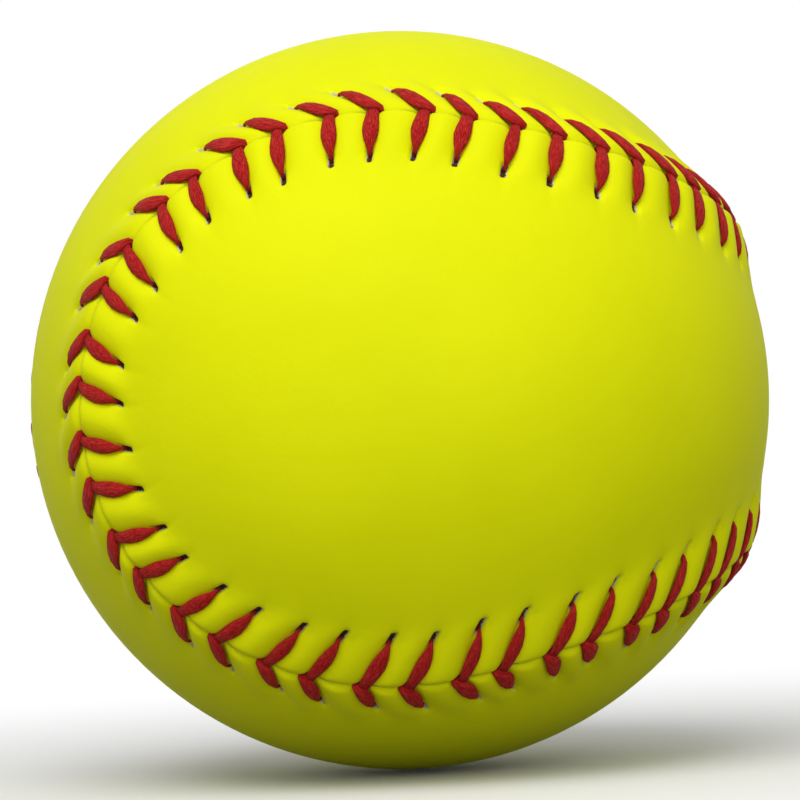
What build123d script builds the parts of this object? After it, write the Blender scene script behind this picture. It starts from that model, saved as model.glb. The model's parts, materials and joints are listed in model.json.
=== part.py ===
from build123d import *

import os
from dataclasses import dataclass
from math import atan2, cos, degrees, pi, radians, sin, sqrt

# A sewn twelve inch softball: a moulded core inside two figure-eight cover panels.
# The frame's origin is the ball's centre, in millimetres. +X runs through the waist of panel A, and -X
# through the waist of panel B. Panel A's two lobes face -Y and +Y, and panel B's face -Z and +Z.

# Ball and cover
BALL_GIRTH = 304.8  # round the ball, over the crowns of the panels
FACE_THICKNESS = 0.6  # coloured face coat of the cover
BACKING_THICKNESS = 1.2  # white fibre backing under the face coat
CEMENT_THICKNESS = 0.15  # cement film between the backing and the core

# Seam line, measured over the surface of the ball
WAIST_WIDTH = 40.5  # from seam to seam across the waist of a panel
LOBE_END_RADIUS = 35.4  # of the round end of a lobe
LOBE_END_SWEEP = 88.0  # degrees that the round end turns through

# Seam and stitches
LIP_RADIUS = 0.4  # rounding of the face coat along the cut edge
STITCH_COUNT = 88  # needle holes along the edge of each panel
THREAD_DIAMETER = 1.2
THREAD_CLEARANCE = 0.1  # between the thread and what it passes through or under
THREAD_BEND_RADIUS = 0.8  # of the thread's centreline at each hole and at the gap
HOLE_SETBACK = 6.8  # from the seam line to the needle holes
HOLE_LAG = 3.2  # by which the holes trail the point of their stitch
FIRST_STITCH = 3.3  # from where the seam crosses the ball's diagonal to the first stitch's point
WELT_RAMP = 3.2  # width of the slope from the raised seam down to the panel
EDGE_BEVEL = 5.0  # degrees by which the cut edges lean from square

# Radii of the layers
OUTER_RADIUS = BALL_GIRTH / (2 * pi)
FACE_RADIUS = OUTER_RADIUS - FACE_THICKNESS
BACKING_RADIUS = FACE_RADIUS - BACKING_THICKNESS
CORE_RADIUS = BACKING_RADIUS - CEMENT_THICKNESS

PANELS = {"a": 1, "b": -1}
CENTRE = Vector(0, 0, 0)


@dataclass
class SeamArc:
    """One arc of the seam line: part of a small circle of the ball about a pole."""

    pole: Vector
    opening: float  # angle from the pole to the arc
    start: Vector  # unit vector to where the arc begins
    sweep: float  # angle about the pole, signed
    inside: int  # sign of the panel that holds the pole

    def across(self):
        """The direction from the pole's axis to the start of the arc."""
        return (self.start - self.pole * self.start.dot(self.pole)).normalized()

    def point(self, turn):
        """Unit vector to the arc, turned by this angle from its start."""
        out = self.across()
        side = self.pole.cross(out)
        return self.pole * cos(self.opening) + (out * cos(turn) + side * sin(turn)) * sin(self.opening)

    def length(self):
        return abs(self.sweep) * sin(self.opening)


def seam_quarter():
    """The seam round the -Y lobe's end: a round end between two flatter flanks."""
    junction = Vector(0, -1, 1).normalized()
    lobe_end = pi / 2 - WAIST_WIDTH / 2 / OUTER_RADIUS
    opening = LOBE_END_RADIUS / OUTER_RADIUS
    tilt = lobe_end - opening
    pole = Vector(-sin(tilt), -cos(tilt), 0)
    outwards = Vector(-cos(tilt), sin(tilt), 0)
    half = radians(LOBE_END_SWEEP / 2)
    first = pole * cos(opening) + (outwards * cos(half) - Vector(0, 0, 1) * sin(half)) * sin(opening)
    last = Vector(first.X, first.Y, -first.Z)
    turn = 1 if pole.cross(outwards).Z > 0 else -1
    end = SeamArc(pole, opening, first, 2 * half * turn, 1)

    # The flank starts along the round end, and runs into the junction on the ball's diagonal.
    inwards = (pole - last * pole.dot(last)).normalized()
    flank_opening = atan2(1 - junction.dot(last), junction.dot(inwards))
    flank_pole = last * cos(flank_opening) + inwards * sin(flank_opening)
    flank = SeamArc(flank_pole, flank_opening, last, 0, 1)
    out = flank.across()
    side = flank_pole.cross(out)
    flank.sweep = atan2(junction.dot(side), junction.dot(out))
    lower_pole = Vector(flank_pole.X, flank_pole.Y, -flank_pole.Z)
    lower = SeamArc(lower_pole, flank_opening, Vector(junction.X, junction.Y, -junction.Z), flank.sweep, 1)
    return [lower, end, flank]


def next_quarter(arcs):
    """The following quarter of the seam: a quarter turn about X, mirrored along X."""

    def turned(v):
        return Vector(-v.X, v.Z, -v.Y)

    return [SeamArc(turned(a.pole), a.opening, turned(a.start), -a.sweep, -a.inside) for a in arcs]


def seam_arcs():
    quarter = seam_quarter()
    arcs = []
    for _ in range(4):
        arcs += quarter
        quarter = next_quarter(quarter)
    return arcs


SEAM = seam_arcs()
SEAM_ANGLE = sum(arc.length() for arc in SEAM)

# Sizes of the stitches and the welt that they raise
STITCH_PITCH = SEAM_ANGLE * OUTER_RADIUS / STITCH_COUNT
THREAD_RADIUS = THREAD_DIAMETER / 2
HOLE_RADIUS = THREAD_RADIUS + THREAD_CLEARANCE
EDGE_OFFSET = THREAD_RADIUS + THREAD_CLEARANCE  # from the seam line to each cut edge, at the top
DIVE_OFFSET = THREAD_RADIUS + THREAD_CLEARANCE  # of the two threads along the gap where they cross
THREAD_SAG = (HOLE_SETBACK**2 + STITCH_PITCH**2) / (8 * CORE_RADIUS)  # of a straight run inside the round
UNDER_RADIUS = CORE_RADIUS + THREAD_SAG + THREAD_RADIUS
WELT_HEIGHT = UNDER_RADIUS + HOLE_RADIUS - BACKING_RADIUS
WELT_RADIUS = OUTER_RADIUS + WELT_HEIGHT
WELT_TOP = HOLE_SETBACK + HOLE_RADIUS + THREAD_CLEARANCE
WELT_REACH = WELT_TOP + WELT_RAMP
OVER_RADIUS = WELT_RADIUS + THREAD_SAG + THREAD_RADIUS


def on_seam(along, offset):
    """Unit vector to the place this far along the seam, and this far over onto panel A."""
    angle = (along / OUTER_RADIUS) % SEAM_ANGLE
    for arc in SEAM:
        if angle <= arc.length():
            break
        angle -= arc.length()
    here = arc.point(angle / sin(arc.opening) * (1 if arc.sweep > 0 else -1))
    to_pole = (arc.pole - here * arc.pole.dot(here)).normalized()
    shift = offset * arc.inside / OUTER_RADIUS
    return here * cos(shift) + to_pole * sin(shift)


def section_plane(arc):
    """The plane of an arc's pole and start, with x away from the pole's axis and y along it."""
    out = arc.across()
    return Plane(origin=CENTRE, x_dir=out, z_dir=out.cross(arc.pole))


def sweep_about_pole(arc, mode=Mode.ADD):
    """Turns the pending section along its arc."""
    axis = Axis(CENTRE, arc.pole if arc.sweep > 0 else -arc.pole)
    revolve(axis=axis, revolution_arc=degrees(abs(arc.sweep)), mode=mode, clean=False)


def in_section(arc, offset, radius, panel):
    """A place in an arc's section plane, this far from the seam line on that panel."""
    angle = arc.opening - offset * panel * arc.inside / OUTER_RADIUS
    return (radius * sin(angle), radius * cos(angle))


def bevelled(offset, base, radius):
    """How far from the seam a cut edge is at one radius, from its place at a base radius."""
    lean = radians(EDGE_BEVEL)
    along = sqrt(radius**2 - (base * sin(lean)) ** 2) - base * cos(lean)
    return offset - OUTER_RADIUS * atan2(along * sin(lean), base + along * cos(lean))


def welt_outline(arc, panel, low, high, lip):
    """One cover layer between two radii, lifted over the stitches along the seam."""
    top, bottom = high + WELT_HEIGHT, low + WELT_HEIGHT
    edge = bevelled(EDGE_OFFSET, WELT_RADIUS, top - lip), bevelled(EDGE_OFFSET, WELT_RADIUS, bottom)
    reach = bevelled(WELT_REACH, OUTER_RADIUS, high), bevelled(WELT_REACH, OUTER_RADIUS, low)
    middle = (EDGE_OFFSET + lip + WELT_TOP) / 2

    def at(offset, radius):
        return in_section(arc, offset, radius, panel)

    def slope(raised, foot, level):
        ease = WELT_RAMP / 2
        Bezier(at(WELT_TOP, raised), at(WELT_TOP + ease, raised), at(foot - ease, level), at(foot, level))

    ThreePointArc(at(edge[0] + lip, top), at(middle, top), at(WELT_TOP, top))
    slope(top, reach[0], high)
    Line(at(reach[0], high), at(reach[1], low))
    slope(bottom, reach[1], low)
    ThreePointArc(at(WELT_TOP, bottom), at(middle, bottom), at(edge[1], bottom))
    Line(at(edge[1], bottom), at(edge[0], top - lip))
    if lip:
        rise = Vector(*at(edge[0], top - lip)) - Vector(*at(edge[1], bottom))
        TangentArc(at(edge[0], top - lip), at(edge[0] + lip, top), tangent=rise)


def zone_outline(arc):
    """A section as wide as the raised welt, from inside the core to outside the ball."""
    inner, outer = CORE_RADIUS - THREAD_DIAMETER, WELT_RADIUS
    reach = bevelled(WELT_REACH, OUTER_RADIUS, inner), bevelled(WELT_REACH, OUTER_RADIUS, outer)
    for radius, half in zip((inner, outer), reach):
        ThreePointArc(*(in_section(arc, v, radius, 1) for v in (-half, 0, half)))
    for side in (-1, 1):
        Line(in_section(arc, side * reach[0], inner, 1), in_section(arc, side * reach[1], outer, 1))


def panel_layer(low, high):
    """Both panels' smooth areas of a layer between two radii, keyed by panel."""
    with BuildPart() as layer:
        Sphere(high)
        Sphere(low, mode=Mode.SUBTRACT)
        for arc in SEAM:
            with BuildSketch(section_plane(arc)):
                with BuildLine():
                    zone_outline(arc)
                make_face()
            sweep_about_pole(arc, Mode.SUBTRACT)
    by_waist = layer.part.solids().sort_by(Axis.X)
    return {"b": by_waist[0], "a": by_waist[-1]}


def stitch_points():
    """How far along the seam the points of the stitches are."""
    return [FIRST_STITCH + number * STITCH_PITCH for number in range(STITCH_COUNT)]


def needle_holes(panel):
    """Planes at a panel's needle holes, with z outwards."""
    holes = []
    for along in stitch_points():
        out = on_seam(along - HOLE_LAG, PANELS[panel] * HOLE_SETBACK)
        holes.append(Plane(origin=out * CORE_RADIUS, z_dir=out))
    return holes


def cover_layer(panel, smooth, low, high, lip):
    """One layer of a panel: its smooth area, the raised welt and the needle holes."""
    with BuildPart() as layer:
        add(smooth)
        for arc in SEAM:
            with BuildSketch(section_plane(arc)):
                with BuildLine():
                    welt_outline(arc, PANELS[panel], low, high, lip)
                make_face()
            sweep_about_pole(arc)
        with BuildSketch(*needle_holes(panel)):
            Circle(HOLE_RADIUS)
        extrude(amount=OVER_RADIUS - CORE_RADIUS, mode=Mode.SUBTRACT, clean=False)
    return layer


def thread_route(first_panel):
    """The corners of one thread: up through a hole, over to the gap, down, and under to the next hole."""
    corners = []
    side = PANELS[first_panel]
    for along in stitch_points():
        hole = on_seam(along - HOLE_LAG, side * HOLE_SETBACK)
        dive = on_seam(along + side * DIVE_OFFSET, 0)
        corners += [hole * UNDER_RADIUS, hole * OVER_RADIUS, dive * OVER_RADIUS, dive * UNDER_RADIUS]
        side = -side
    return corners


def rounded_corner(before, corner, after):
    """Where a corner's round bend starts and ends, and the way the thread runs into it."""
    into = (corner - before).normalized()
    onwards = (after - corner).normalized()
    cut = THREAD_BEND_RADIUS * sqrt((1 - into.dot(onwards)) / (1 + into.dot(onwards)))
    return corner - into * cut, corner + onwards * cut, into


def thread(first_panel):
    """One whole thread, with both tails tucked under the welt."""
    corners = thread_route(first_panel)
    bends = [rounded_corner(*corners[n - 1 : n + 2]) for n in range(1, len(corners) - 1)]
    edges = []
    here = corners[0]
    for start, end, into in bends:
        edges += [Edge.make_line(here, start), Edge.make_tangent_arc(start, into, end)]
        here = end
    route = Wire(edges + [Edge.make_line(here, corners[-1])])
    with BuildPart() as strand:
        with BuildSketch(Plane(origin=route @ 0, z_dir=route % 0)):
            Circle(THREAD_RADIUS)
        sweep(path=route)
    print("thread length", round(route.length), "volume", round(strand.part.volume),
          "section times length", round(pi * THREAD_RADIUS**2 * route.length))
    return strand


os.makedirs("parts", exist_ok=True)


def keep(built, name):
    built.part.label = name
    export_step(built.part, f"parts/{name}.step")


# Core
with BuildPart() as core:
    Sphere(CORE_RADIUS)
keep(core, "core")

# Cement, cover layers and threads
cement = panel_layer(CORE_RADIUS, BACKING_RADIUS)
backing = panel_layer(BACKING_RADIUS, FACE_RADIUS)
face = panel_layer(FACE_RADIUS, OUTER_RADIUS)
for panel in PANELS:
    with BuildPart() as film:
        add(cement[panel])
    keep(film, f"cement_film_{panel}")
    keep(cover_layer(panel, backing[panel], BACKING_RADIUS, FACE_RADIUS, 0), f"cover_backing_{panel}")
    keep(cover_layer(panel, face[panel], FACE_RADIUS, OUTER_RADIUS, LIP_RADIUS), f"cover_face_{panel}")
for number, panel in enumerate(PANELS, start=1):
    keep(thread(panel), f"thread_{number}")

print("stitch pitch", round(STITCH_PITCH, 2), "welt height", round(WELT_HEIGHT, 2))
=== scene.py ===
import json
import math

import bpy
import numpy as np
from mathutils import Matrix, Vector

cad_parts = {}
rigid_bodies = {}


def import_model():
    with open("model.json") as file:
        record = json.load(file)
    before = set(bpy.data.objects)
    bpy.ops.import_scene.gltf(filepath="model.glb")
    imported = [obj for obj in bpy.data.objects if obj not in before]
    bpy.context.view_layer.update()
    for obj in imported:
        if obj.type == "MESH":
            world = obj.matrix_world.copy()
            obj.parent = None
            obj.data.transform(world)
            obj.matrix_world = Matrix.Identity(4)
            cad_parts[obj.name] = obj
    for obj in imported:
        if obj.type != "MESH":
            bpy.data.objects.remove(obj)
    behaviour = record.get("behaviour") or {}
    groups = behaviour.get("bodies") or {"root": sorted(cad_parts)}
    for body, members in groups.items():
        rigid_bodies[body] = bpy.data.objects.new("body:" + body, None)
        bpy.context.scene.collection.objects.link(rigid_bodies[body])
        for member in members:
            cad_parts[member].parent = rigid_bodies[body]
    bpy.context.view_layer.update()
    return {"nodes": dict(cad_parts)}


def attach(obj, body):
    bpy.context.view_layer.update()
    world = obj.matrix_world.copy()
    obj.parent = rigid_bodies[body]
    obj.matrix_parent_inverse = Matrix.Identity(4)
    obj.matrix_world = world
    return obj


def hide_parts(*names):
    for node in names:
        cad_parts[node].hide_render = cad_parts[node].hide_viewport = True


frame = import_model()

# Sizes of the ball, in millimetres, as in the part's source
BALL_GIRTH = 304.8
OUTER_RADIUS = BALL_GIRTH / (2 * math.pi)
FACE_THICKNESS = 0.6
COVER_THICKNESS = 1.8
WAIST_WIDTH = 40.5
LOBE_END_RADIUS = 35.4
LOBE_END_SWEEP = 88.0  # degrees
STITCH_COUNT = 88
FIRST_STITCH = 3.3
MM_PER_M = 1000

# The side of the seam on which each panel lies
SIDES = {"a": 1, "b": -1}

# Raised seam, and the cover's pillows between the stitches
WELT_HEIGHT = 1.25
WELT_SPREAD = 5.6
EDGE_STEP = 0.1  # by which panel A's edge stands higher than the welt, and panel B's lower
EDGE_STEP_SPREAD = 2.5
PILLOW_HEIGHT = 0.56
PILLOW_SINK = 0.4  # share of that height by which the cover lies lower beside the seam
PILLOW_RISE = 0.0, 1.2  # distances from the seam between which the pillows rise
PILLOW_FALL = 4.8, 9.8  # and between which they run out
PUCKER_RANGE = 0.75, 1.25  # of single pillows against the usual one

# What the legs of the stitches press into the cover
GROOVE_DEPTH = 0.36
GROOVE_WIDTH = 1.0
GROOVE_END = 1.0  # length over which a groove runs out at its needle hole
GROOVE_REACH = 1.15  # share of a leg's length over which the cover follows its lean
NOTCH_DEPTH = 0.45  # in the cut edge where a leg dives
NOTCH_WIDTH = 1.0
NOTCH_REACH = 0.9
CREASE_DEPTH = 0.14  # of the folds that run on from the needle holes
CREASE_WIDTH = 0.7
CREASE_LENGTH = {"a": 1.8, "b": 0.8}

# Needle holes, drawn out into slits
HOLE_SETBACK = {"a": 7.4, "b": 6.2}
HOLE_DEPTH = {"a": 0.8, "b": 0.5}
HOLE_WIDTH = {"a": 0.48, "b": 0.3}
HOLE_LENGTH = {"a": 1.8, "b": 1.3}
HOLE_END = 0.25  # length over which the ends of a slit run out

# Gap between the cut edges, as half widths
GAP_SHUT = 0.05
GAP_AT_LEG = 0.28
GAP_AT_LEG_SPREAD = 0.75
GAP_BEHIND_LEG = 0.13
GAP_BEHIND_LEG_SPREAD = 1.1
GAP_TRAIL = 1.7  # from a leg back to the middle of the open place behind it

# Unevenness of the sewing: slow waves round the seam and a scatter from stitch to stitch
TIP_REACH = {"a": 0.6, "b": 0.25}  # from the place where a leg dives on to the point of its V
SPACING_WAVE = 1.1
SPACING_PHASE = 0.43
SPACING_BEAT = 0.28
SPACING_SCATTER = 0.12
HOLE_LAG = {"a": 3.0, "b": 3.6}  # by which the needle holes trail the points
HOLE_LAG_WAVE = {"a": 1.6, "b": 2.3}
HOLE_LAG_SECOND_WAVE = 0.8
HOLE_SCATTER_ALONG = 0.2
HOLE_SCATTER_ACROSS = 0.22
LEG_BREADTH_RANGE = 0.9, 1.1
rng = np.random.default_rng(12)

# Rows of points: distances from the seam, with heights over or depths under the cover's outside
SEAM_ZONE = 10.5  # width of the finely meshed band beside the seam
COLUMNS_PER_STITCH = 24
COARSE_COLUMNS_PER_STITCH = 4
OUTSIDE_ROWS = 14  # from the band to the middle line of a panel
INSIDE_ROWS = 8
FACE_LIP = (0.0, -1.05), (-0.02, -0.6), (0.04, -0.34), (0.16, -0.17), (0.36, -0.06), (0.66, -0.01)
FACE_BAND = (
    1.05, 1.4, 1.75, 2.1, 2.5, 2.9, 3.3, 3.7, 4.1, 4.5, 4.85, 5.2, 5.5, 5.8, 6.1, 6.4, 6.7, 7.0,
    7.3, 7.6, 7.9, 8.3, 8.8, 9.4, SEAM_ZONE,
)
FACE_UNDERSIDE = (1.2, 1.35), (3.5, 1.3), (7.0, 1.9), (SEAM_ZONE, FACE_THICKNESS)
CUT_EDGE_START = 0.18  # depth at which the rounded lip turns into the cut edge
CUT_EDGE_BLEND = 0.6
BOND_GAP = 0.04
BACKING_TOP = FACE_THICKNESS + BOND_GAP
BACKING_UPPER = (0.75, -1.45), (1.2, -1.42), (3.5, -1.38), (7.0, -2.0), (SEAM_ZONE, -BACKING_TOP)
BACKING_LOWER = (0.75, -2.25), (3.5, -2.3), (7.0, -2.55), (SEAM_ZONE, -COVER_THICKNESS)
WELD_DISTANCE = 2e-6  # metres


def unit(v):
    return v / np.linalg.norm(v, axis=-1, keepdims=True)


# Seam line: twelve arcs of small circles


def turned(v):
    """A quarter turn about X, mirrored along X, which brings the seam back onto itself."""
    return np.array([-v[0], v[2], -v[1]])


def seam_arcs():
    lobe_end = math.pi / 2 - WAIST_WIDTH / 2 / OUTER_RADIUS
    opening = LOBE_END_RADIUS / OUTER_RADIUS
    tilt = lobe_end - opening
    half = math.radians(LOBE_END_SWEEP / 2)
    junction = unit(np.array([0.0, -1, 1]))
    up = np.array([0.0, 0, 1])
    pole = np.array([-math.sin(tilt), -math.cos(tilt), 0])
    outwards = np.array([-math.cos(tilt), math.sin(tilt), 0])
    spread = outwards * math.cos(half) + up * math.sin(half)
    last = pole * math.cos(opening) + spread * math.sin(opening)
    flip = np.array([1, 1, -1])
    inwards = unit(pole - last * (pole @ last))
    wide = math.atan2(1 - junction @ last, junction @ inwards)
    flank = last * math.cos(wide) + inwards * math.sin(wide)
    quarter = [(flank * flip, wide, junction * flip, last * flip), (pole, opening, last * flip, last)]
    quarter.append((flank, wide, last, junction))
    arcs, inside = [], 1
    for _ in range(4):
        arcs += [(*arc, inside) for arc in quarter]
        quarter = [(turned(p), o, turned(a), turned(b)) for p, o, a, b in quarter]
        inside = -inside
    rows = []
    for pole, opening, start, end, inside in arcs:
        out = unit(start - pole * (pole @ start))
        side = np.cross(pole, out)
        sweep = math.atan2(end @ side, end @ out)
        if sweep < 0:
            side, sweep = -side, -sweep
        rows.append((pole, opening, out, side, sweep * math.sin(opening) * OUTER_RADIUS, inside))
    return rows


ARCS = seam_arcs()
SEAM_LENGTH = sum(arc[4] for arc in ARCS)
PITCH = SEAM_LENGTH / STITCH_COUNT


def seam_at(along):
    """Unit vectors at places along the seam: outwards, and across onto panel A."""
    along = np.asarray(along, float) % SEAM_LENGTH
    out, to_a = np.zeros((*along.shape, 3)), np.zeros((*along.shape, 3))
    start = 0.0
    for pole, opening, away, side, length, inside in ARCS:
        here = (along >= start) & (along < start + length + 1e-9)
        turn = ((along[here] - start) / OUTER_RADIUS / math.sin(opening))[:, None]
        ring = away * np.cos(turn) + side * np.sin(turn)
        place = pole * math.cos(opening) + ring * math.sin(opening)
        out[here] = place
        to_a[here] = inside * unit(pole - place * math.cos(opening))
        start += length
    return out, to_a


def on_cover(along, offset):
    """Unit vector to a place beside the seam, with a positive offset onto panel A."""
    out, to_a = seam_at(along)
    turn = np.asarray(offset, float)[..., None] / OUTER_RADIUS
    return out * np.cos(turn) + to_a * np.sin(turn)


# Stitches: the points of the V's lie on the seam, and the needle holes trail them on both sides


def hand_sewn():
    """Where each leg dives into the seam, and its needle hole: along the seam and across it."""
    n = np.arange(STITCH_COUNT)
    turn = 2 * math.pi * n / STITCH_COUNT
    drift = SPACING_WAVE * np.sin(3 * turn + SPACING_PHASE) + SPACING_BEAT * np.cos(math.pi * n)
    scatter = rng.normal(0, SPACING_SCATTER, STITCH_COUNT)
    first = SEAM_LENGTH / 8 + FIRST_STITCH  # beside the middle of a lobe's round end
    point = first + n * PITCH + drift + scatter
    wave = {
        "a": -HOLE_LAG_WAVE["a"] * np.sin(2 * turn),
        "b": HOLE_LAG_WAVE["b"] * np.sin(turn) + HOLE_LAG_SECOND_WAVE * np.cos(2 * turn),
    }
    dives, holes = {}, {}
    for panel in SIDES:
        lag = HOLE_LAG[panel] + wave[panel]
        along = point - lag + rng.normal(0, HOLE_SCATTER_ALONG, STITCH_COUNT)
        across = HOLE_SETBACK[panel] + rng.normal(0, HOLE_SCATTER_ACROSS, STITCH_COUNT)
        dives[panel] = point - TIP_REACH[panel]
        holes[panel] = along, across
    return dives, holes


DIVES, HOLES = hand_sewn()
PUCKER = {panel: rng.uniform(*PUCKER_RANGE, STITCH_COUNT) for panel in SIDES}


def ease(low, high, x):
    """From 0 to 1 between two values, without corners."""
    t = np.clip((x - low) / (high - low), 0, 1)
    return t * t * (3 - 2 * t)


def bell(x, spread, power=2):
    """1 in the middle, running out to 0 on both sides."""
    return np.exp(-((x / spread) ** power))


def welt(offset):
    """Height of the raised seam over the round of the ball."""
    return WELT_HEIGHT * bell(offset, WELT_SPREAD)


def nearest_leg(panel, along, offset):
    """Distance along the seam from a panel's nearest leg, that leg's number and the number of the leg
    before."""
    hole_along, setback = HOLES[panel]
    share = np.clip(np.broadcast_to(offset, along.shape)[:, None] / setback, 0, GROOVE_REACH)
    legs = DIVES[panel] + (hole_along - DIVES[panel]) * share
    along = along - np.floor((along - legs[:, 0]) / SEAM_LENGTH) * SEAM_LENGTH
    legs = np.concatenate([legs, legs[:, :1] + SEAM_LENGTH], axis=1)
    before = np.clip((legs <= along[:, None]).sum(1) - 1, 0, STITCH_COUNT - 1)
    row = np.arange(len(along))
    behind, ahead = legs[row, before], legs[row, before + 1]
    phase = (along - behind) / (ahead - behind)
    step = np.round(phase)
    return (phase - step) * PITCH, (before + step.astype(int)) % STITCH_COUNT, before


def cover_height(panel, along, offset):
    """Height of a cover's outside over the round of the ball, and how far it is inside a needle hole."""
    gap, number, before = nearest_leg(panel, along, offset)
    setback = HOLES[panel][1][number]
    reach = offset - setback
    pillow = 0.5 - 0.5 * np.cos(2 * math.pi * gap / PITCH)
    beside_seam = ease(*PILLOW_RISE, offset) * (1 - ease(*PILLOW_FALL, offset))
    puff = PILLOW_HEIGHT * beside_seam * (PUCKER[panel][before] * pillow - PILLOW_SINK)
    under_leg = 1 - ease(setback - GROOVE_END, setback, offset)
    groove = GROOVE_DEPTH * bell(gap, GROOVE_WIDTH) * under_leg
    past = np.exp(-np.maximum(reach, 0) / CREASE_LENGTH[panel])
    crease = CREASE_DEPTH * bell(gap, CREASE_WIDTH) * (1 - under_leg) * past
    notch = NOTCH_DEPTH * bell(gap, NOTCH_WIDTH) * bell(offset, NOTCH_REACH)
    half = HOLE_LENGTH[panel] / 2
    slit = bell(np.maximum(np.abs(reach + half) - half, 0), HOLE_END)
    pit = slit * bell(gap, HOLE_WIDTH[panel], 4)
    step = EDGE_STEP * SIDES[panel] * bell(offset, EDGE_STEP_SPREAD)
    height = welt(offset) + step + puff - groove - crease - notch - HOLE_DEPTH[panel] * pit
    return height, pit


def seam_opening(panel, along):
    """Half width of the gap between the two cut edges."""
    gap, _, _ = nearest_leg(panel, along, 0.0)
    at_leg = GAP_AT_LEG * bell(gap, GAP_AT_LEG_SPREAD)
    behind = GAP_BEHIND_LEG * bell(gap + GAP_TRAIL, GAP_BEHIND_LEG_SPREAD)
    return GAP_SHUT + at_leg + behind


# Mesh helpers


def to_middle(panel, along):
    """How far a line square to the seam runs before it meets the middle line of its panel."""
    out, to_a = seam_at(along)
    axis = 2 if panel == "a" else 1
    rise = out[:, axis] * SIDES[panel]
    fall = -to_a[:, axis]
    flat = np.abs(fall) < 1e-6
    full = np.arctan2(rise, np.where(flat, 1, fall))
    full = np.where(full < 0, full + math.pi, full)
    return np.where(flat, LOBE_END_RADIUS, full * OUTER_RADIUS)


def shell_points(panel, along, offset, radius):
    return on_cover(along, SIDES[panel] * offset) * np.asarray(radius)[..., None]


def ring_faces(first, second, count):
    """Quads between two closed rows of points that start at these numbers."""
    i = np.arange(count)
    j = (i + 1) % count
    return [tuple(q) for q in np.stack([first + i, first + j, second + j, second + i], 1).tolist()]


def step_faces(fine, coarse, count, ratio):
    """Faces from a fine closed row to a coarse one."""
    faces = []
    total = count * ratio
    for c in range(count):
        f = [fine + (c * ratio + k) % total for k in range(ratio + 1)]
        near, far = coarse + c, coarse + (c + 1) % count
        middle = ratio // 2
        faces += [(f[k], f[k + 1], near) for k in range(middle)]
        faces.append((f[middle], far, near))
        faces += [(f[k], f[k + 1], far) for k in range(middle, ratio)]
    return faces


def mesh_piece(name, points_mm, faces, flip, attributes=None):
    """A closed, smooth mesh object from points in millimetres."""
    mesh = bpy.data.meshes.new(name)
    if flip:
        faces = [tuple(reversed(f)) for f in faces]
    mesh.from_pydata((np.asarray(points_mm) / MM_PER_M).tolist(), [], faces)
    for key, values in (attributes or {}).items():
        mark = mesh.attributes.new(key, "FLOAT", "POINT")
        mark.data.foreach_set("value", np.asarray(values, np.float32))
    mesh.polygons.foreach_set("use_smooth", np.ones(len(mesh.polygons), bool))
    obj = bpy.data.objects.new(name, mesh)
    bpy.context.scene.collection.objects.link(obj)
    weld = obj.modifiers.new("close", "WELD")
    weld.merge_threshold = WELD_DISTANCE
    depsgraph = bpy.context.evaluated_depsgraph_get()
    welded = bpy.data.meshes.new_from_object(obj.evaluated_get(depsgraph))
    obj.modifiers.clear()
    obj.data = welded
    bpy.data.meshes.remove(mesh)
    welded.name = name
    return obj


FINE = STITCH_COUNT * COLUMNS_PER_STITCH
COARSE = STITCH_COUNT * COARSE_COLUMNS_PER_STITCH
FINE_ALONG = np.arange(FINE) * SEAM_LENGTH / FINE
COARSE_ALONG = np.arange(COARSE) * SEAM_LENGTH / COARSE


def middle_rows(panel, start, count, radius):
    """Coarse rows from beside the seam to the middle line of a panel."""
    reach = to_middle(panel, COARSE_ALONG)
    share = np.linspace(0, 1, count + 1)[1:]
    level = np.full(COARSE, radius)
    return [shell_points(panel, COARSE_ALONG, start + (reach - start) * f, level) for f in share]


# Cover panels


def cover_face(panel):
    """A panel's face coat: puckered between the stitches, rounded at its cut edge, hollow inside."""
    opening = seam_opening(panel, FINE_ALONG)
    rows, faces, pits, edges = [], [], [], []

    def add(row, pit=None, edge=0.0):
        rows.append(row)
        pits.append(np.zeros(len(row)) if pit is None else pit)
        edges.append(np.full(len(row), edge))
        return sum(len(r) for r in rows[:-1])

    starts = []
    for inset, drop in FACE_LIP:
        offset = opening + inset
        height, pit = cover_height(panel, FINE_ALONG, offset)
        row = shell_points(panel, FINE_ALONG, offset, OUTER_RADIUS + height + drop)
        starts.append(add(row, pit, np.clip((-drop - CUT_EDGE_START) / CUT_EDGE_BLEND, 0, 1)))
    for offset in FACE_BAND:
        height, pit = cover_height(panel, FINE_ALONG, np.full(FINE, offset))
        row = shell_points(panel, FINE_ALONG, np.full(FINE, offset), OUTER_RADIUS + height)
        starts.append(add(row, pit))
    for a, b in zip(starts, starts[1:]):
        faces += ring_faces(a, b, FINE)
    outside = [add(row) for row in middle_rows(panel, SEAM_ZONE, OUTSIDE_ROWS, OUTER_RADIUS)]
    faces += step_faces(starts[-1], outside[0], COARSE, FINE // COARSE)
    for a, b in zip(outside, outside[1:]):
        faces += ring_faces(a, b, COARSE)

    # Underside
    under = []
    for offset, depth in FACE_UNDERSIDE:
        radius = OUTER_RADIUS + welt(offset) - depth
        row = shell_points(panel, COARSE_ALONG, np.full(COARSE, offset), np.full(COARSE, radius))
        under.append(add(row))
    inner_radius = OUTER_RADIUS - FACE_THICKNESS
    under += [add(row) for row in middle_rows(panel, SEAM_ZONE, INSIDE_ROWS, inner_radius)]
    faces += [tuple(reversed(f)) for f in step_faces(starts[0], under[0], COARSE, FINE // COARSE)]
    for a, b in zip(under, under[1:]):
        faces += [tuple(reversed(f)) for f in ring_faces(a, b, COARSE)]
    marks = {"needle_hole": np.concatenate(pits), "cut_edge": np.concatenate(edges)}
    return mesh_piece(f"panel_{panel}_face", np.concatenate(rows), faces, panel == "a", marks)


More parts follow.
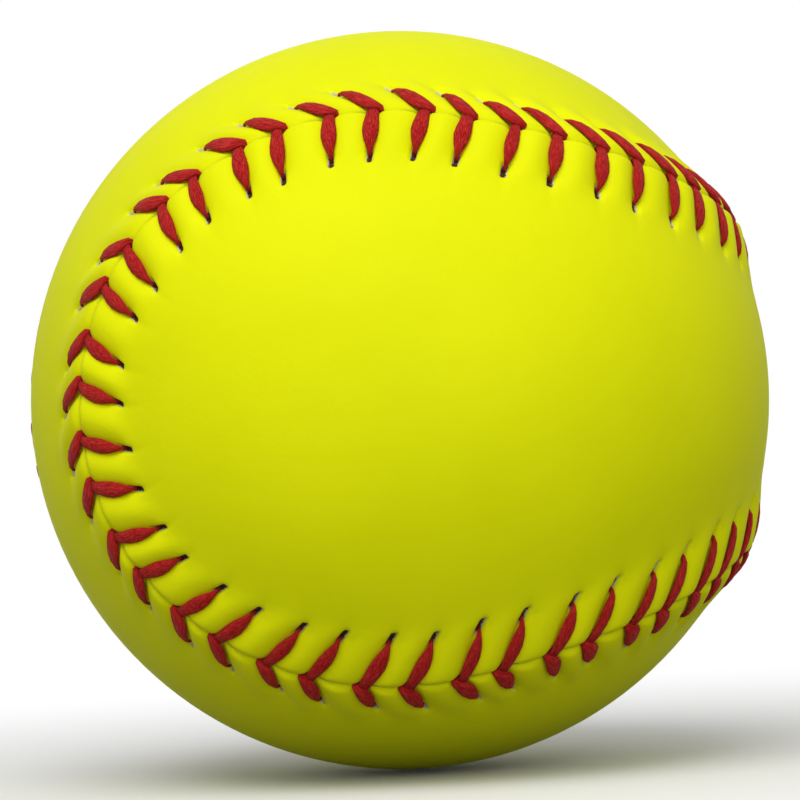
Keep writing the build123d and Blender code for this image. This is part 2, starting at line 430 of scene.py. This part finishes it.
def cover_backing(panel):
    """A panel's fibre backing, which follows the underside of its face coat."""
    rows, faces = [], []

    def add(row):
        rows.append(row)
        return sum(len(r) for r in rows[:-1])

    def band(profile, level):
        starts = []
        for offset, depth in profile:
            radius = max(OUTER_RADIUS + welt(offset) + depth, OUTER_RADIUS - COVER_THICKNESS)
            row = shell_points(panel, COARSE_ALONG, np.full(COARSE, offset), np.full(COARSE, radius))
            starts.append(add(row))
        return starts + [add(row) for row in middle_rows(panel, SEAM_ZONE, INSIDE_ROWS, level)]

    top = band(BACKING_UPPER, OUTER_RADIUS - BACKING_TOP)
    bottom = band(BACKING_LOWER, OUTER_RADIUS - COVER_THICKNESS)
    for a, b in zip(top, top[1:]):
        faces += ring_faces(a, b, COARSE)
    faces += ring_faces(bottom[0], top[0], COARSE)
    for a, b in zip(bottom, bottom[1:]):
        faces += ring_faces(b, a, COARSE)
    return mesh_piece(f"panel_{panel}_backing", np.concatenate(rows), faces, panel == "a")


# Thread

LEG_LENGTH = 7.8  # that a strand is drawn at, before it is fitted to its place
LEG_SIDES = 8
HIDDEN_RUN = 2  # number of that shape, after the legs on the two panels


def strand(name, stations, offset_at):
    """A flattened strand. Each station is a share of its length, a height over the cover, a half
    width, a half thickness and a sideways lean; offset_at gives the distance from the seam."""
    share, rise, wide, thick, lean = np.array(stations, float).T
    radius = OUTER_RADIUS + welt(offset_at(share)) + rise
    turn = (share - 0.5) * LEG_LENGTH / OUTER_RADIUS
    centre = np.stack([radius * np.sin(turn), lean, radius * np.cos(turn) - OUTER_RADIUS], 1)
    run = np.gradient(centre, axis=0)
    run[:, 1] = 0
    run = unit(run)
    normal = np.stack([-run[:, 2], np.zeros(len(run)), run[:, 0]], 1)
    angle = np.arange(LEG_SIDES) * 2 * math.pi / LEG_SIDES
    ring = centre[:, None] + normal[:, None] * (thick[:, None] * np.sin(angle))[..., None]
    ring[:, :, 1] += wide[:, None] * np.cos(angle)
    points = ring.reshape(-1, 3)
    faces, uv = [], []
    last = len(share) - 1
    for k in range(last):
        for i in range(LEG_SIDES):
            j = (i + 1) % LEG_SIDES
            here, onward = k * LEG_SIDES, (k + 1) * LEG_SIDES
            faces.append([here + i, here + j, onward + j, onward + i])
            u0, u1 = i / LEG_SIDES, (i + 1) / LEG_SIDES
            uv += [(u0, share[k]), (u1, share[k]), (u1, share[k + 1]), (u0, share[k + 1])]
    faces.append(list(reversed(range(LEG_SIDES))))
    faces.append([last * LEG_SIDES + i for i in range(LEG_SIDES)])
    uv += [(0.5, share[0])] * LEG_SIDES + [(0.5, share[-1])] * LEG_SIDES
    mesh = bpy.data.meshes.new(name)
    mesh.from_pydata((points / MM_PER_M).tolist(), [], faces)
    mesh.polygons.foreach_set("use_smooth", np.ones(len(mesh.polygons), bool))
    layer = mesh.uv_layers.new(name="fibre")
    layer.data.foreach_set("uv", np.array(uv, np.float32).ravel())
    return bpy.data.objects.new(name, mesh)


def stitch_shapes():
    """The shapes of a stitch: its leg on panel A, its leg on panel B and its run under the cover."""
    leg_a = [
        (0.17, -1.3, 0.18, 0.22, 0), (0.2, -0.45, 0.28, 0.3, 0), (0.26, -0.06, 0.48, 0.34, 0),
        (0.39, 0.08, 0.8, 0.38, 0.02), (0.54, 0.1, 0.98, 0.39, 0.04), (0.69, 0.08, 0.94, 0.38, 0.02),
        (0.86, 0.0, 0.78, 0.36, -0.02), (1.02, -0.2, 0.7, 0.34, -0.04), (1.06, -1.6, 0.5, 0.3, -0.06),
    ]
    leg_b = [
        (0.13, -1.2, 0.08, 0.14, 0), (0.17, -0.5, 0.14, 0.2, 0.02), (0.26, -0.12, 0.36, 0.28, 0.1),
        (0.4, 0.08, 0.74, 0.36, 0.14), (0.57, 0.14, 1.04, 0.39, 0.1), (0.74, 0.17, 1.14, 0.4, 0.02),
        (0.9, 0.15, 1.0, 0.38, 0.14), (1.02, 0.03, 0.54, 0.3, 0.64), (1.06, -1.2, 0.2, 0.2, 0.9),
    ]
    under = [
        (-0.02, -1.2, 0.35, 0.3, 0), (0.06, -2.1, 0.55, 0.22, 0), (0.5, -1.9, 0.7, 0.22, 0),
        (0.84, -1.8, 0.55, 0.22, 0), (0.9, -1.3, 0.3, 0.26, 0),
    ]
    shapes = bpy.data.collections.new("stitch shapes")
    for name, stations, offset_at in (
        ("1 leg on panel a", leg_a, lambda f: HOLE_SETBACK["a"] * (1 - f)),
        ("2 leg on panel b", leg_b, lambda f: HOLE_SETBACK["b"] * (1 - f)),
        ("3 run under the cover", under, lambda f: HOLE_SETBACK["a"] * f),
    ):
        shapes.objects.link(strand(name, stations, offset_at))
    return shapes


def thread_places(first_panel):
    """One thread's legs and hidden runs: start, end and shape of each."""
    places = []
    panels = list(SIDES)
    turn = panels.index(first_panel)
    for n in range(STITCH_COUNT):
        panel, other = panels[(turn + n) % 2], panels[(turn + n + 1) % 2]
        here = HOLES[panel][0][n], SIDES[panel] * HOLES[panel][1][n]
        dive = DIVES[panel][n], 0.0
        after = (n + 1) % STITCH_COUNT
        lap = SEAM_LENGTH if after == 0 else 0
        onward = HOLES[other][0][after] + lap, SIDES[other] * HOLES[other][1][after]
        places.append((here, dive, panels.index(panel)))
        places.append((dive, onward, HIDDEN_RUN))
    return places


def stitch_tree():
    """Sets a stitch's shapes on points that carry their direction, length and shape."""
    tree = bpy.data.node_groups.new("two needle stitch", "GeometryNodeTree")
    face = tree.interface
    face.new_socket("Geometry", in_out="INPUT", socket_type="NodeSocketGeometry")
    face.new_socket("Shapes", in_out="INPUT", socket_type="NodeSocketCollection")
    face.new_socket("Plumpness", in_out="INPUT", socket_type="NodeSocketFloat")
    face.new_socket("Thread", in_out="INPUT", socket_type="NodeSocketMaterial")
    face.new_socket("Geometry", in_out="OUTPUT", socket_type="NodeSocketGeometry")
    nodes, links = tree.nodes, tree.links
    group_in, group_out = nodes.new("NodeGroupInput"), nodes.new("NodeGroupOutput")
    shapes = nodes.new("GeometryNodeCollectionInfo")
    shapes.inputs["Separate Children"].default_value = True
    shapes.inputs["Reset Children"].default_value = True
    links.new(group_in.outputs["Shapes"], shapes.inputs["Collection"])

    def carried(name, kind):
        node = nodes.new("GeometryNodeInputNamedAttribute")
        node.data_type = kind
        node.inputs["Name"].default_value = name
        return node.outputs["Attribute"]

    turn = nodes.new("FunctionNodeAxesToRotation")
    turn.primary_axis, turn.secondary_axis = "Z", "X"
    links.new(carried("outwards", "FLOAT_VECTOR"), turn.inputs[0])
    links.new(carried("onwards", "FLOAT_VECTOR"), turn.inputs[1])
    size = nodes.new("ShaderNodeCombineXYZ")
    links.new(carried("reach", "FLOAT"), size.inputs[0])
    links.new(carried("breadth", "FLOAT"), size.inputs[1])
    links.new(group_in.outputs["Plumpness"], size.inputs[2])
    place = nodes.new("GeometryNodeInstanceOnPoints")
    place.inputs["Pick Instance"].default_value = True
    links.new(group_in.outputs["Geometry"], place.inputs["Points"])
    links.new(shapes.outputs[0], place.inputs["Instance"])
    links.new(carried("shape", "INT"), place.inputs["Instance Index"])
    links.new(turn.outputs[0], place.inputs["Rotation"])
    links.new(size.outputs[0], place.inputs["Scale"])
    real, paint = nodes.new("GeometryNodeRealizeInstances"), nodes.new("GeometryNodeSetMaterial")
    links.new(place.outputs[0], real.inputs[0])
    links.new(real.outputs[0], paint.inputs["Geometry"])
    links.new(group_in.outputs["Thread"], paint.inputs["Material"])
    links.new(paint.outputs[0], group_out.inputs[0])
    return tree


def sewn_thread(name, first_panel, tree, shapes, material):
    """One thread, sewn by the stitch's tree and turned into a plain mesh."""
    places = thread_places(first_panel)
    starts = on_cover(*np.array([p[0] for p in places]).T)
    ends = on_cover(*np.array([p[1] for p in places]).T)
    middle = unit(starts + ends)
    onwards = unit(ends - starts)
    length = np.linalg.norm(ends - starts, axis=1) * OUTER_RADIUS
    mesh = bpy.data.meshes.new(name)
    mesh.from_pydata((middle * OUTER_RADIUS / MM_PER_M).tolist(), [], [])
    breadth = rng.uniform(*LEG_BREADTH_RANGE, len(places))
    for key, kind, field, values in (
        ("outwards", "FLOAT_VECTOR", "vector", middle),
        ("onwards", "FLOAT_VECTOR", "vector", onwards),
        ("reach", "FLOAT", "value", length / LEG_LENGTH),
        ("breadth", "FLOAT", "value", breadth),
    ):
        carried = mesh.attributes.new(key, kind, "POINT")
        carried.data.foreach_set(field, np.asarray(values, np.float32).ravel())
    kinds = np.array([place[2] for place in places], np.int32)
    mesh.attributes.new("shape", "INT", "POINT").data.foreach_set("value", kinds)
    obj = bpy.data.objects.new(name, mesh)
    bpy.context.scene.collection.objects.link(obj)
    sew = obj.modifiers.new("sew", "NODES")
    sew.node_group = tree
    sockets = {s.name: s.identifier for s in tree.interface.items_tree if s.in_out == "INPUT"}
    sew[sockets["Shapes"]] = shapes
    sew[sockets["Plumpness"]] = 1.0
    sew[sockets["Thread"]] = material
    sewn = bpy.data.meshes.new_from_object(obj.evaluated_get(bpy.context.evaluated_depsgraph_get()))
    obj.modifiers.clear()
    obj.data = sewn
    bpy.data.meshes.remove(mesh)
    sewn.name = name
    return obj


# Materials


def new_material(name, colour, roughness):
    """A material with a plain colour, its nodes, its links and its shader."""
    material = bpy.data.materials.new(name)
    material.use_nodes = True
    shader = material.node_tree.nodes["Principled BSDF"]
    shader.inputs["Base Color"].default_value = (*colour, 1)
    shader.inputs["Roughness"].default_value = roughness
    return material, material.node_tree.nodes, material.node_tree.links, shader


def noise(nodes, links, vector, scale, detail=3.0, rough=0.5):
    node = nodes.new("ShaderNodeTexNoise")
    node.inputs["Scale"].default_value = scale
    node.inputs["Detail"].default_value = detail
    node.inputs["Roughness"].default_value = rough
    links.new(vector, node.inputs["Vector"])
    return node.outputs["Fac"]


def ramp(nodes, links, factor, stops):
    node = nodes.new("ShaderNodeValToRGB")
    elements = node.color_ramp.elements
    elements[0].position, elements[0].color = stops[0][0], (*stops[0][1], 1)
    elements[1].position, elements[1].color = stops[-1][0], (*stops[-1][1], 1)
    for position, colour in stops[1:-1]:
        elements.new(position).color = (*colour, 1)
    links.new(factor, node.inputs["Fac"])
    return node.outputs["Color"]


def maths(nodes, links, operation, first, second):
    """The result of a Math node on a socket, with a second socket or a constant."""
    node = nodes.new("ShaderNodeMath")
    node.operation = operation
    links.new(first, node.inputs[0])
    if isinstance(second, float):
        node.inputs[1].default_value = second
    else:
        links.new(second, node.inputs[1])
    return node.outputs[0]


MIX_COLOURS = 6, 7  # sockets of a Mix node
MIX_RESULT = 2


def mixed(nodes, links, factor, *colours):
    """A blend of two colours, each a socket or a constant."""
    node = nodes.new("ShaderNodeMix")
    node.data_type = "RGBA"
    links.new(factor, node.inputs["Factor"])
    for socket, colour in zip(MIX_COLOURS, colours):
        if isinstance(colour, tuple):
            node.inputs[socket].default_value = (*colour, 1)
        else:
            links.new(colour, node.inputs[socket])
    return node.outputs[MIX_RESULT]


def mesh_mark(nodes, name):
    """How strongly a piece's mesh is marked here, from 0 to 1."""
    node = nodes.new("ShaderNodeAttribute")
    node.attribute_name = name
    return node.outputs["Fac"]


def bump(nodes, links, height, strength, distance, below=None):
    node = nodes.new("ShaderNodeBump")
    node.inputs["Strength"].default_value = strength
    node.inputs["Distance"].default_value = distance
    links.new(height, node.inputs["Height"])
    if below is not None:
        links.new(below, node.inputs["Normal"])
    return node.outputs["Normal"]


def yellow_cover(name, fibre_and_shade_stops):
    """Satin synthetic leather with a fine grain, pierced through to its pale fibres at the rims of the
    needle holes, and darker deeper in them with painted shade.
    """
    material, nodes, links, shader = new_material(name, (0.82, 0.86, 0.002), 0.6)
    place = nodes.new("ShaderNodeTexCoord").outputs["Object"]
    tone = ramp(nodes, links, noise(nodes, links, place, 35, 4), [
        (0.3, (0.785, 0.83, 0.001)), (0.5, (0.82, 0.86, 0.002)), (0.7, (0.845, 0.88, 0.003))])
    hole = mesh_mark(nodes, "needle_hole")
    fibres = maths(nodes, links, "MULTIPLY", noise(nodes, links, place, 2600, 2), 0.5)
    # Pale fibres at a needle hole's rim, running into painted shade, dark brown, deeper in the hole
    fibres_and_depth = maths(nodes, links, "ADD", fibres, maths(nodes, links, "MULTIPLY", hole, 0.6))
    fibres_and_shade = ramp(nodes, links, fibres_and_depth, fibre_and_shade_stops)
    inside = ramp(nodes, links, hole, [(0.4, (0, 0, 0)), (0.6, (1, 1, 1))])
    skin = mixed(nodes, links, inside, tone, fibres_and_shade)
    colour = mixed(nodes, links, mesh_mark(nodes, "cut_edge"), skin, (0.8, 0.83, 0.08))
    links.new(colour, shader.inputs["Base Color"])
    satin = nodes.new("ShaderNodeMapRange")
    satin.inputs["To Min"].default_value = 0.52
    satin.inputs["To Max"].default_value = 0.66
    links.new(noise(nodes, links, place, 420, 3), satin.inputs["Value"])
    links.new(satin.outputs[0], shader.inputs["Roughness"])
    grain = bump(nodes, links, noise(nodes, links, place, 1900, 3, 0.6), 0.16, 0.0002)
    waves = bump(nodes, links, noise(nodes, links, place, 240, 2), 0.1, 0.0006, grain)
    links.new(waves, shader.inputs["Normal"])
    shader.inputs["Specular IOR Level"].default_value = 0.05
    return material


def red_thread():
    """Waxed cotton: fine fibres along a flattened strand."""
    material, nodes, links, shader = new_material("red thread", (0.47, 0.008, 0.008), 0.62)
    uv = nodes.new("ShaderNodeUVMap")
    uv.uv_map = "fibre"
    place = nodes.new("ShaderNodeTexCoord").outputs["Object"]
    stretch = nodes.new("ShaderNodeMapping")
    stretch.inputs["Scale"].default_value = (34, 6, 1)
    links.new(uv.outputs["UV"], stretch.inputs["Vector"])
    shift = nodes.new("ShaderNodeVectorMath")
    shift.operation = "MULTIPLY_ADD"
    links.new(place, shift.inputs[0])
    shift.inputs[1].default_value = (300, 300, 300)
    links.new(stretch.outputs[0], shift.inputs[2])
    fibre = noise(nodes, links, shift.outputs[0], 1.6, 4, 0.65)
    tone = ramp(nodes, links, fibre, [
        (0.32, (0.18, 0.001, 0.002)), (0.48, (0.47, 0.008, 0.008)), (0.68, (0.7, 0.055, 0.04))])
    links.new(tone, shader.inputs["Base Color"])
    fuzz = bump(nodes, links, noise(nodes, links, place, 3600, 3, 0.6), 0.35, 0.0002)
    links.new(bump(nodes, links, fibre, 0.75, 0.0003, fuzz), shader.inputs["Normal"])
    shader.inputs["Sheen Weight"].default_value = 0.02
    shader.inputs["Sheen Roughness"].default_value = 0.4
    shader.inputs["Specular IOR Level"].default_value = 0.1
    return material


def speckled(name, dark, light, scale, roughness, relief):
    """A dull, mottled finish for the layers inside."""
    material, nodes, links, shader = new_material(name, light, roughness)
    place = nodes.new("ShaderNodeTexCoord").outputs["Object"]
    mottle = noise(nodes, links, place, scale, 5, 0.6)
    links.new(ramp(nodes, links, mottle, [(0.3, dark), (0.7, light)]), shader.inputs["Base Color"])
    links.new(bump(nodes, links, mottle, 0.4, relief), shader.inputs["Normal"])
    return material


# Pieces

cover_look = {
    # The darker stops are painted shade in the depths of the needle holes: nearly black on panel A, brownish
    # on panel B
    "a": yellow_cover("yellow cover a", [(0.6, (0.62, 0.58, 0.46)), (0.76, (0.075, 0.035, 0.018))]),
    "b": yellow_cover("yellow cover b", [(0.6, (0.66, 0.64, 0.4)), (0.9, (0.34, 0.3, 0.16))]),
}
thread_look = red_thread()
backing_look = speckled("white fibre backing", (0.6, 0.59, 0.53), (0.84, 0.83, 0.78), 1800, 0.95, 0.0003)
core_look = speckled("moulded foam core", (0.5, 0.42, 0.25), (0.66, 0.59, 0.4), 900, 0.85, 0.0004)
cement_look = speckled("dried cement", (0.58, 0.44, 0.22), (0.76, 0.66, 0.42), 300, 0.35, 0.0002)

for panel in SIDES:
    for piece, look, node, slot in (
        (cover_face(panel), cover_look[panel], f"cover_face_{panel}", "cover"),
        (cover_backing(panel), backing_look, f"cover_backing_{panel}", "backing"),
    ):
        piece.data.materials.append(look)
        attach(piece, "root")
        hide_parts(node)

shapes, tree = stitch_shapes(), stitch_tree()
for number, panel in enumerate(SIDES, start=1):
    piece = sewn_thread(f"thread_{number}_sewn", panel, tree, shapes, thread_look)
    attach(piece, "root")
    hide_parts(f"thread_{number}")
for shape in list(shapes.objects):
    bpy.data.objects.remove(shape)
bpy.data.collections.remove(shapes)

for node, look in (("core", core_look), ("cement_film_a", cement_look), ("cement_film_b", cement_look)):
    frame["nodes"][node].data.materials.clear()
    frame["nodes"][node].data.materials.append(look)


# Floor, light and camera

FLOOR_SIZE = 3.0  # metres
FLOOR_CLEARANCE = 0.4  # millimetres under the ball
FLOOR_FADE = 0.06, 0.22  # metres from the middle between which the floor runs out to white
FLOOR_BOUNCE = (0.24, 0.24, 0.24)  # as the ball sees it
FLOOR_SEEN = (0.95, 0.95, 0.95)
WORLD_LIGHT = 0.42
SENSOR_WIDTH = 36


def seen_directly(nodes, links):
    """1 where the camera sees a surface, also in a mirror or through glass."""
    path = nodes.new("ShaderNodeLightPath")
    indirect = maths(nodes, links, "ADD", path.outputs["Is Glossy Ray"], path.outputs["Is Transmission Ray"])
    seen = maths(nodes, links, "ADD", path.outputs["Is Camera Ray"], indirect)
    seen.node.use_clamp = True
    return seen


def add_floor(size, level):
    """A pale floor that keeps the ball's shadow."""
    mesh = bpy.data.meshes.new("floor")
    corners = [(-size, -size, level), (size, -size, level), (size, size, level), (-size, size, level)]
    mesh.from_pydata(corners, [], [(0, 1, 2, 3)])
    floor = bpy.data.objects.new("floor", mesh)
    bpy.context.scene.collection.objects.link(floor)
    material, nodes, links, shader = new_material("pale floor", FLOOR_BOUNCE, 0.9)
    seen = seen_directly(nodes, links)
    links.new(mixed(nodes, links, seen, FLOOR_BOUNCE, FLOOR_SEEN), shader.inputs["Base Color"])

    # Away from the ball and its shadow the floor runs out to white
    away = nodes.new("ShaderNodeVectorMath")
    away.operation = "LENGTH"
    links.new(nodes.new("ShaderNodeTexCoord").outputs["Object"], away.inputs[0])
    fade = nodes.new("ShaderNodeMapRange")
    fade.interpolation_type = "SMOOTHSTEP"
    fade.inputs["From Min"].default_value = FLOOR_FADE[0]
    fade.inputs["From Max"].default_value = FLOOR_FADE[1]
    links.new(away.outputs["Value"], fade.inputs["Value"])
    share = maths(nodes, links, "MULTIPLY", fade.outputs[0], seen)
    white = nodes.new("ShaderNodeEmission")
    white.inputs["Color"].default_value = (1, 1, 1, 1)
    blend = nodes.new("ShaderNodeMixShader")
    links.new(share, blend.inputs["Fac"])
    links.new(shader.outputs[0], blend.inputs[1])
    links.new(white.outputs[0], blend.inputs[2])
    links.new(blend.outputs[0], nodes["Material Output"].inputs["Surface"])
    mesh.materials.append(material)


def add_softbox(name, place, size, watts):
    """A round softbox that faces the ball."""
    data = bpy.data.lights.new(name, "AREA")
    data.shape = "DISK"
    data.size = size
    data.energy = watts
    lamp = bpy.data.objects.new(name, data)
    lamp.location = place
    lamp.rotation_euler = (-Vector(place)).to_track_quat("-Z", "Y").to_euler()
    bpy.context.scene.collection.objects.link(lamp)


def add_camera(azimuth, elevation, roll, distance, lens):
    """The photograph's camera, which faces the middle of the ball. The angles are in degrees."""
    data = bpy.data.cameras.new("camera")
    data.lens = lens
    data.sensor_width = SENSOR_WIDTH
    camera = bpy.data.objects.new("camera", data)
    turn = Matrix.Identity(4)
    for angle, axis in ((90, "X"), (azimuth, "Y"), (elevation, "X"), (roll, "Z")):
        turn = turn @ Matrix.Rotation(math.radians(angle), 4, axis)
    camera.matrix_world = Matrix.Translation(turn.col[2].to_3d() * distance) @ turn
    bpy.context.scene.collection.objects.link(camera)
    bpy.context.scene.camera = camera


def add_world(light):
    """A white surround, which lights the ball at its own level."""
    world = bpy.data.worlds.new("studio")
    world.use_nodes = True
    bpy.context.scene.world = world
    nodes, links = world.node_tree.nodes, world.node_tree.links
    level = nodes.new("ShaderNodeMapRange")
    level.inputs["To Min"].default_value = light
    level.inputs["To Max"].default_value = 1.0
    links.new(seen_directly(nodes, links), level.inputs["Value"])
    links.new(level.outputs[0], nodes["Background"].inputs["Strength"])
    nodes["Background"].inputs["Color"].default_value = (1, 1, 1, 1)


add_floor(FLOOR_SIZE, -(OUTER_RADIUS + FLOOR_CLEARANCE) / MM_PER_M)
add_softbox("overhead softbox", place=(-0.25, -0.5, 0.75), size=0.8, watts=4.7)
add_softbox("front fill", place=(-0.1, -0.9, 0.25), size=0.9, watts=2.9)
add_camera(azimuth=-12.0, elevation=0.4, roll=-2.9, distance=0.582, lens=198.6)
add_world(WORLD_LIGHT)
bpy.context.scene.view_settings.view_transform = "Standard"
